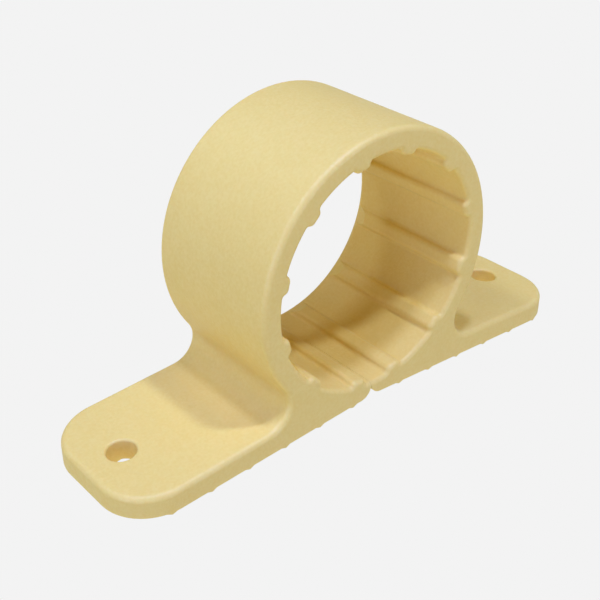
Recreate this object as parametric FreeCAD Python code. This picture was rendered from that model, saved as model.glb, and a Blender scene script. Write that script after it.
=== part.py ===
"""Two-hole pipe strap, moulded in one piece. Millimetres, +Z up.

A split ring carries the pipe on ribs along its bore, and a flat foot on each
side takes one screw. The section in the XZ plane is drawn once for the half
with positive x, mirrored, and extruded along the pipe, which runs along Y.
X runs along the feet. As moulded the feet slope down from the middle, so z = 0 is
the flat surface that their outer ends stand on, midway between them. The slit is
cut last, a little to the left of the middle.
"""
import FreeCAD, Part
import math
import os

# the pipe and its seat
pipe_diameter = 28.575        # one-inch tube size, 1 1/8 in outside
pipe_clearance = 0.05         # between the pipe and the rib crests, on the radius
rib_count = 12                # half of them evenly spaced up each side
rib_beside_slit = 11.5        # degrees from straight down to the lowest rib on each side
rib_beside_top = 13.5         # degrees from straight up to the highest rib on each side
rib_height = 0.75             # crest above the bore wall
rib_crest_angle = 3.2         # degrees of the seat circle that one crest covers
rib_crest_round = 0.75        # shoulder beside the crest
rib_root_round = 0.45         # hollow at the foot of the rib
rib_runout = 2.4              # along the pipe, where the ribs fall away at the far mouth
mouth_flare = 0.2             # the far mouth wider than the bore, on the radius

# the ring
ring_wall = 2.75              # bore wall to outside
strap_width = 19.8            # along the pipe
saddle_web = 1.85             # under the bore, at its lowest
slit_width = 0.03             # the ends of the ring all but touch
slit_offset = 1.0             # from the middle of the strap to the slit, to the left
slit_lip_round = 1.7          # lower corners of the slit, where the web is thick enough
slit_land = 0.15              # upright wall left between these corners and the bore

# the feet
foot_thickness = 2.8
foot_slope = 3.45             # degrees that each foot drops away from the slit
foot_corner_round = 6.5       # outer corners, seen from above
ring_to_foot_round = 3.2      # hollow between the ring and the top of the foot
screw_spacing = 62.2
foot_past_screw = 5.05        # from the middle of the screw hole to the end of the foot
screw_hole_diameter = 3.6
screw_hole_edge = 0.3         # rounded mouth of the hole

# the gripping ridges across the underside
ridge_first = 4.0             # from the middle of the strap to the first ridge
ridge_pitch = 5.4
ridge_count = 6               # on each foot
ridge_width = 1.3
ridge_height = 0.27

# the rounded edges
outer_edge_round = 0.7        # round the ring and the top of the feet
bore_edge_round = 0.6         # near mouth of the bore, over the rib ends too
far_edge_round = 0.25         # far mouth of the bore
tiny = 0.001                  # for telling edges apart

seat_radius = pipe_diameter / 2 + pipe_clearance
bore_radius = seat_radius + rib_height
ring_radius = bore_radius + ring_wall
slope = math.radians(foot_slope)
lip_round = min(slit_lip_round, saddle_web - slit_land)
strap_length = screw_spacing + 2 * foot_past_screw
half_length = strap_length / 2
half_width = strap_width / 2
base_height = half_length * math.tan(slope)
axis_height = base_height + saddle_web + bore_radius
pipe_axis = FreeCAD.Vector(0, 0, axis_height)


def on_foot(along, above):
    """A point of the section by its place along the foot's sole and above it."""
    x = along * math.cos(slope) + above * math.sin(slope)
    z = base_height - along * math.sin(slope) + above * math.cos(slope)
    return FreeCAD.Vector(x, 0, z)


def round_axis(radius, degrees):
    """A point of the section at this radius and angle round the pipe's axis."""
    angle = math.radians(degrees)
    return pipe_axis + FreeCAD.Vector(radius * math.cos(angle), 0, radius * math.sin(angle))


def line(start, end):
    return Part.LineSegment(start, end).toShape()


def arc(centre, start, end):
    """The short arc about a centre, from one point to another."""
    radius = (start - centre).Length
    middle = centre + ((start + end) * 0.5 - centre).normalize() * radius
    return Part.Arc(start, middle, end).toShape()


def outer_edges():
    """From the top of the ring down its outside and out along the foot."""
    drop = axis_height - base_height
    hollow_above = foot_thickness + ring_to_foot_round
    reach = ring_radius + ring_to_foot_round
    rise = drop * math.cos(slope) - hollow_above
    hollow_along = math.sqrt(reach ** 2 - rise ** 2) - drop * math.sin(slope)
    hollow = on_foot(hollow_along, hollow_above)
    on_ring = pipe_axis + (hollow - pipe_axis).normalize() * ring_radius
    on_top = on_foot(hollow_along, foot_thickness)
    top_end = on_foot(foot_end(foot_thickness), foot_thickness)
    sole_end = on_foot(foot_end(0), 0)
    return [
        arc(pipe_axis, round_axis(ring_radius, 90), round_axis(ring_radius, 0)),
        arc(pipe_axis, round_axis(ring_radius, 0), on_ring),
        arc(hollow, on_ring, on_top),
        line(on_top, top_end),
        line(top_end, sole_end),
    ]


def foot_end(above):
    """How far along the foot its upright end stands, at a height above the sole."""
    return (half_length - above * math.sin(slope)) / math.cos(slope)


def sole_edges():
    """Back along the underside of the foot with its ridges, to the middle."""
    edges = []
    last = on_foot(foot_end(0), 0)
    for number in reversed(range(ridge_count)):
        middle = ridge_first + number * ridge_pitch
        outer = on_foot(middle + ridge_width / 2, 0)
        crest = on_foot(middle, -ridge_height)
        inner = on_foot(middle - ridge_width / 2, 0)
        edges += [line(last, outer), line(outer, crest), line(crest, inner)]
        last = inner
    return edges + [line(last, on_foot(0, 0))]


def rib_flank_angle():
    """Degrees from the edge of a crest to where the rib's root meets the bore."""
    shoulder = seat_radius + rib_crest_round
    root = bore_radius - rib_root_round
    between = rib_crest_round + rib_root_round
    cosine = (shoulder ** 2 + root ** 2 - between ** 2) / (2 * shoulder * root)
    return math.degrees(math.acos(cosine))


def rib_edges(middle):
    """One rib, from its lower root over its crest to its upper root."""
    edges = []
    for side in (-1, 1):
        crest_angle = middle + side * rib_crest_angle / 2
        root_angle = crest_angle + side * rib_flank_angle()
        shoulder = round_axis(seat_radius + rib_crest_round, crest_angle)
        root = round_axis(bore_radius - rib_root_round, root_angle)
        meet = root + (shoulder - root).normalize() * rib_root_round
        edges.append(arc(root, round_axis(bore_radius, root_angle), meet))
        edges.append(arc(shoulder, meet, round_axis(seat_radius, crest_angle)))
    low = round_axis(seat_radius, middle - rib_crest_angle / 2)
    high = round_axis(seat_radius, middle + rib_crest_angle / 2)
    edges.append(arc(pipe_axis, low, high))
    return edges


def bore_edges():
    """Up the bore from its bottom to its top, over the ribs of this half."""
    edges = []
    each_side = rib_count // 2
    pitch = (180 - rib_beside_slit - rib_beside_top) / (each_side - 1)
    half_rib = rib_crest_angle / 2 + rib_flank_angle()
    last = -90
    for number in range(each_side):
        middle = -90 + rib_beside_slit + pitch * number
        edges.append(arc(pipe_axis, round_axis(bore_radius, last),
                         round_axis(bore_radius, middle - half_rib)))
        edges += rib_edges(middle)
        last = middle + half_rib
    edges.append(arc(pipe_axis, round_axis(bore_radius, last), round_axis(bore_radius, 90)))
    return edges


def mirrored(edges):
    """The edges of one half as they run on the other."""
    return [edge.mirror(FreeCAD.Vector(0, 0, 0), FreeCAD.Vector(1, 0, 0)) for edge in edges]


def outline(edges):
    return Part.Wire(Part.__sortEdges__(edges))


def section():
    """The whole section as one face, with the bore open and the slit not yet cut."""
    outside = outer_edges() + sole_edges()
    bore = bore_edges()
    return Part.Face([outline(outside + mirrored(outside)), outline(bore + mirrored(bore))])


def plan():
    """The outline seen from above, a bar with rounded corners, taller than the strap."""
    height = axis_height + 2 * ring_radius
    low = FreeCAD.Vector(-half_length, -half_width, -ring_radius)
    bar = Part.makeBox(strap_length, strap_width, height, low)
    corners = [edge for edge in bar.Edges
               if abs(edge.Vertexes[0].Z - edge.Vertexes[1].Z) > tiny]
    return bar.makeFillet(foot_corner_round, corners)


def middle_of(edge):
    return edge.valueAt((edge.FirstParameter + edge.LastParameter) / 2)


def from_axis(point):
    return math.hypot(point.x, point.z - axis_height)


def above_sole(point):
    """Height of a point over the plane of the sole on its own side."""
    return (point.z - base_height) * math.cos(slope) + abs(point.x) * math.sin(slope)


def on_outline(point):
    """Whether a point lies on the outline seen from above."""
    past_x = max(abs(point.x) - (half_length - foot_corner_round), 0)
    past_y = max(abs(point.y) - (half_width - foot_corner_round), 0)
    return math.hypot(past_x, past_y) > foot_corner_round - tiny


def is_outer_edge(edge):
    """An edge round the outside of the ring, the hollow or the top of a foot."""
    point = middle_of(edge)
    on_top = above_sole(point) > foot_thickness - tiny
    return on_outline(point) and on_top and from_axis(point) > ring_radius - tiny


def is_near_bore_edge(edge):
    """An edge at the near mouth of the bore, over the ribs too."""
    point = middle_of(edge)
    return point.y < tiny - half_width and from_axis(point) < bore_radius + tiny


def far_mouth():
    """The cone that widens the far mouth and takes the ribs down to the wall."""
    spread = (rib_height + mouth_flare) / rib_runout
    past = 1
    start = FreeCAD.Vector(0, half_width - rib_runout - past, axis_height)
    return Part.makeCone(seat_radius - spread * past,
                         bore_radius + mouth_flare + spread * past,
                         rib_runout + 2 * past, start, FreeCAD.Vector(0, 1, 0))


def is_far_bore_edge(edge):
    point = middle_of(edge)
    at_mouth = point.y > half_width - tiny
    return at_mouth and abs(from_axis(point) - bore_radius - mouth_flare) < tiny


def slit_edges(wall):
    """From the middle of the sole round a lower corner of the slit and up its wall."""
    corner_along = (wall + lip_round - lip_round * math.sin(slope)) / math.cos(slope)
    corner = on_foot(corner_along, lip_round)
    corner_start = on_foot(corner_along, 0)
    corner_end = FreeCAD.Vector(wall, 0, corner.z)
    return [line(on_foot(0, 0), corner_start), arc(corner, corner_start, corner_end),
            line(corner_end, FreeCAD.Vector(wall, 0, axis_height))]


def slit():
    """What the slit takes away, from the sole with its rounded corners up into the bore."""
    left = -slit_offset - slit_width / 2
    right = -slit_offset + slit_width / 2
    top = line(FreeCAD.Vector(left, 0, axis_height), FreeCAD.Vector(right, 0, axis_height))
    gap = Part.Face(outline(slit_edges(right) + mirrored(slit_edges(-left)) + [top]))
    gap.translate(FreeCAD.Vector(0, -strap_width, 0))
    return gap.extrude(FreeCAD.Vector(0, 2 * strap_width, 0))


def screw_hole(x):
    """The bore of one screw hole, upright, through the foot and its ridge."""
    radius = screw_hole_diameter / 2
    return Part.makeCylinder(radius, axis_height, FreeCAD.Vector(x, 0, -ridge_height))


def is_hole_mouth(edge):
    point = middle_of(edge)
    to_hole = math.hypot(abs(point.x) - screw_spacing / 2, point.y)
    at_hole = abs(to_hole - screw_hole_diameter / 2) < tiny
    return at_hole and above_sole(point) > foot_thickness - tiny


strap = section().extrude(FreeCAD.Vector(0, strap_width, 0))
strap.translate(FreeCAD.Vector(0, -half_width, 0))
strap = strap.common(plan()).removeSplitter()
strap = strap.makeFillet(outer_edge_round, [edge for edge in strap.Edges if is_outer_edge(edge)])
strap = strap.makeFillet(bore_edge_round, [edge for edge in strap.Edges if is_near_bore_edge(edge)])
strap = strap.cut(far_mouth())
strap = strap.makeFillet(far_edge_round, [edge for edge in strap.Edges if is_far_bore_edge(edge)])
strap = strap.cut(slit())
for screw_x in (-screw_spacing / 2, screw_spacing / 2):
    strap = strap.cut(screw_hole(screw_x))
strap = strap.makeFillet(screw_hole_edge, [edge for edge in strap.Edges if is_hole_mouth(edge)])

os.makedirs("parts", exist_ok=True)
solid = strap.Solids[0]
print("solids", len(strap.Solids), "valid", strap.isValid(), "volume", round(solid.Volume, 1))
print("box", strap.BoundBox)
solid.exportStep("parts/pipe_strap.step")
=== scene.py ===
"""A two-hole pipe strap, moulded in one piece of pale yellow plastic, on a plain pale floor."""
import math
import bpy
from mathutils import Matrix, Vector

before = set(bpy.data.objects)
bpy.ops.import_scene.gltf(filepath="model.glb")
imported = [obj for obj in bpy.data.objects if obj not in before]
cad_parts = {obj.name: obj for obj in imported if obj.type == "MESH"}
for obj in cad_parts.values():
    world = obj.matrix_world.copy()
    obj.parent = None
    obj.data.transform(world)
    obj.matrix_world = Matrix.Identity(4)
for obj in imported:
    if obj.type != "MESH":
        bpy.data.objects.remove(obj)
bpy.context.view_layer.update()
scene = bpy.context.scene


# The view: from above the front left, and so near that the ring's front looms
# over its back. The frame is a square cut from a wider picture, so the lens
# axis stands off its middle.
def direction(azimuth, elevation):
    """Unit vector, in degrees: azimuth turns from the front towards the right, elevation rises."""
    turned = math.radians(azimuth)
    raised = math.radians(elevation)
    return Vector((math.sin(turned) * math.cos(raised),
                   -math.cos(turned) * math.cos(raised),
                   math.sin(raised)))


image_size = 600
view_azimuth = -39.666
view_elevation = 31.691
view_roll = math.radians(-0.321)
view_distance = 0.129894
view_target = Vector((-0.006603, 0, 0.012483))
focal_pixels = 1059.93
axis_pixel = (285.0, 308.0)
film_width_mm = 36
nearest_seen = 0.005
farthest_seen = 10

back = direction(view_azimuth, view_elevation)
level = direction(view_azimuth + 90, 0)
upright = back.cross(level)
across = level * math.cos(view_roll) + upright * math.sin(view_roll)
up = upright * math.cos(view_roll) - level * math.sin(view_roll)
turn = Matrix((across, up, back)).transposed()
lens = bpy.data.cameras.new("view")
lens.sensor_width = film_width_mm
lens.lens = focal_pixels / image_size * film_width_mm
lens.shift_x = 0.5 - axis_pixel[0] / image_size
lens.shift_y = axis_pixel[1] / image_size - 0.5
lens.clip_start = nearest_seen
lens.clip_end = farthest_seen
camera = bpy.data.objects.new("view", lens)
camera.matrix_world = Matrix.Translation(view_target + back * view_distance) @ turn.to_4x4()
scene.collection.objects.link(camera)
scene.camera = camera


# The strap: one injection moulding in pale ivory-yellow plastic, satin and a
# little translucent. The mould's spark-eroded skin leaves a fine even grain, and
# the resin's colour drifts very slightly through the flow.
class Shade:
    """One output of a node tree. Arithmetic on it adds the Math nodes."""

    def __init__(self, tree, output=None):
        self.tree = tree
        self.output = output

    def node(self, kind, settings, inputs, output=0):
        """A new node: its settings first, then the number, colour or link of each input."""
        made = self.tree.nodes.new(kind)
        for name, value in settings.items():
            setattr(made, name, value)
        for name, value in inputs.items():
            if isinstance(value, Shade):
                self.tree.links.new(value.output, made.inputs[name])
            else:
                made.inputs[name].default_value = value
        return Shade(self.tree, made.outputs[output] if made.outputs else None)

    def maths(self, operation, first, second):
        return self.node("ShaderNodeMath", {"operation": operation}, {0: first, 1: second})

    def __add__(self, other):
        return self.maths("ADD", self, other)

    __radd__ = __add__

    def __sub__(self, other):
        return self.maths("SUBTRACT", self, other)

    def __rsub__(self, other):
        return self.maths("SUBTRACT", other, self)

    def __mul__(self, other):
        return self.maths("MULTIPLY", self, other)

    __rmul__ = __mul__


def empty_tree(owner):
    """The node tree of a material or a world, emptied and ready for its own nodes."""
    owner.use_nodes = True
    owner.node_tree.nodes.clear()
    return Shade(owner.node_tree)


# A Mix node's colour sockets go by number, because its other kinds share their names.
mix_from = 6
mix_to = 7
mixed = 2

resin = (0.93, 0.702, 0.222, 1)
resin_rich = (0.90, 0.658, 0.184, 1)
resin_roughness = 0.48
resin_refraction = 1.49
scatter_weight = 0.15
scatter_depth = 0.0008
scatter_reach = (1.0, 0.6, 0.3)

noise_middle = 0.5
flow_size = 0.009
flow_colour = 0.8
mottle_size = 0.0013
mottle_colour = 0.8
mottle_roughness = 0.10
mottle_height = 0.4
grain_size = 0.0004
grain_colour = 2.4
grain_roughness = 0.12
grain_depth = 0.000032

plastic = bpy.data.materials.new("strap_plastic")
nodes = empty_tree(plastic)
place = nodes.node("ShaderNodeTexCoord", {}, {}, "Object")
flow = nodes.node("ShaderNodeTexNoise", {}, {
    "Vector": place, "Scale": 1 / flow_size, "Detail": 2.0, "Roughness": 0.5})
mottle = nodes.node("ShaderNodeTexNoise", {}, {
    "Vector": place, "Scale": 1 / mottle_size, "Detail": 3.0, "Roughness": 0.6})
grain = nodes.node("ShaderNodeTexNoise", {}, {
    "Vector": place, "Scale": 1 / grain_size, "Detail": 2.0, "Roughness": 0.55})
richness = ((flow - noise_middle) * flow_colour + (mottle - noise_middle) * mottle_colour
            + (grain - noise_middle) * grain_colour + noise_middle)
colour = nodes.node("ShaderNodeMix", {"data_type": "RGBA", "clamp_factor": True}, {
    "Factor": richness, mix_from: resin, mix_to: resin_rich}, mixed)
roughness = (resin_roughness + (mottle - noise_middle) * mottle_roughness
             + (grain - noise_middle) * grain_roughness)
relief = nodes.node("ShaderNodeBump", {}, {
    "Height": grain + mottle * mottle_height, "Distance": grain_depth, "Strength": 1.0})
skin = nodes.node("ShaderNodeBsdfPrincipled", {"subsurface_method": "RANDOM_WALK"}, {
    "Base Color": colour, "Roughness": roughness, "Normal": relief, "IOR": resin_refraction,
    "Subsurface Weight": scatter_weight, "Subsurface Radius": scatter_reach,
    "Subsurface Scale": scatter_depth})
nodes.node("ShaderNodeOutputMaterial", {}, {"Surface": skin})
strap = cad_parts["pipe_strap"]
strap.data.materials.clear()
strap.data.materials.append(plastic)


# The floor: one plain pale sheet, far wider than the strap. The view sees it pale
# grey from edge to edge. What it throws back at the strap is warmer and dimmer,
# as from a sheet that the strap itself colours, and from below it is clear.
floor_reach = 3.0
backdrop_grey = (0.896, 0.896, 0.896, 1)
floor_bounce = (0.740, 0.740, 0.600, 1)
glow_socket = 1
clear_socket = 2


def seen_grey(nodes, thrown):
    """The backdrop's grey where the view looks straight at it, else the light it throws."""
    seen = nodes.node("ShaderNodeLightPath", {}, {}, "Is Camera Ray")
    return nodes.node("ShaderNodeMix", {"data_type": "RGBA"}, {
        "Factor": seen, mix_from: thrown, mix_to: backdrop_grey}, mixed)


floor_mesh = bpy.data.meshes.new("floor")
floor_mesh.from_pydata(
    [(-floor_reach, -floor_reach, 0), (floor_reach, -floor_reach, 0),
     (floor_reach, floor_reach, 0), (-floor_reach, floor_reach, 0)],
    [], [(0, 1, 2, 3)])
floor = bpy.data.objects.new("floor", floor_mesh)
scene.collection.objects.link(floor)
paper = bpy.data.materials.new("floor_paper")
nodes = empty_tree(paper)
below = nodes.node("ShaderNodeNewGeometry", {}, {}, "Backfacing")
glow = nodes.node("ShaderNodeEmission", {}, {
    "Color": seen_grey(nodes, floor_bounce), "Strength": 1.0})
clear = nodes.node("ShaderNodeBsdfTransparent", {}, {})
sheet = nodes.node("ShaderNodeMixShader", {}, {
    "Fac": below, glow_socket: glow, clear_socket: clear})
nodes.node("ShaderNodeOutputMaterial", {}, {"Surface": sheet})
floor_mesh.materials.append(paper)


# The light: a dim warm room, three small lamps that cast the shadows, from high on
# the right, from overhead and from high behind the left, and five wide soft boxes,
# high and low at the left, low in front, low at the right and behind.
room_light = (0.130, 0.070, 0.020, 1)
lamp_aim = Vector((0, 0, 0.015))
lamp_distance = 0.6
box_width = 0.3

scene.view_settings.view_transform = "Standard"
scene.view_settings.look = "None"
room = bpy.data.worlds.new("surround")
nodes = empty_tree(room)
walls = nodes.node("ShaderNodeBackground", {}, {
    "Color": seen_grey(nodes, room_light), "Strength": 1.0})
nodes.node("ShaderNodeOutputWorld", {}, {"Surface": walls})
scene.world = room


def round_lamp(name, azimuth, elevation, width, watts, tint):
    """A round lamp that faces the strap from the given direction, lamp_distance away."""
    towards = direction(azimuth, elevation)
    lamp = bpy.data.lights.new(name, "AREA")
    lamp.shape = "DISK"
    lamp.size = width
    lamp.energy = watts
    lamp.color = tint
    made = bpy.data.objects.new(name, lamp)
    made.matrix_world = (Matrix.Translation(lamp_aim + towards * lamp_distance)
                         @ towards.to_track_quat("Z", "Y").to_matrix().to_4x4())
    scene.collection.objects.link(made)


round_lamp("right_lamp", 27, 67, 0.05, 1.60, (0.59, 0.70, 1.00))
round_lamp("overhead_lamp", 325, 80, 0.06, 1.84, (0.36, 0.46, 1.00))
round_lamp("left_lamp", 242, 58, 0.08, 0.78, (0.56, 0.69, 1.00))
round_lamp("high_left_box", 272, 58, box_width, 1.06, (0.52, 0.58, 1.00))
round_lamp("low_left_box", 290, 10, box_width, 1.36, (0.28, 0.43, 1.00))
round_lamp("front_box", 10, 10, box_width, 1.00, (0.20, 0.30, 1.00))
round_lamp("low_right_box", 90, 12, box_width, 0.25, (0.64, 1.00, 0.72))
round_lamp("back_box", 185, 30, box_width, 0.21, (0.81, 1.00, 0.29))
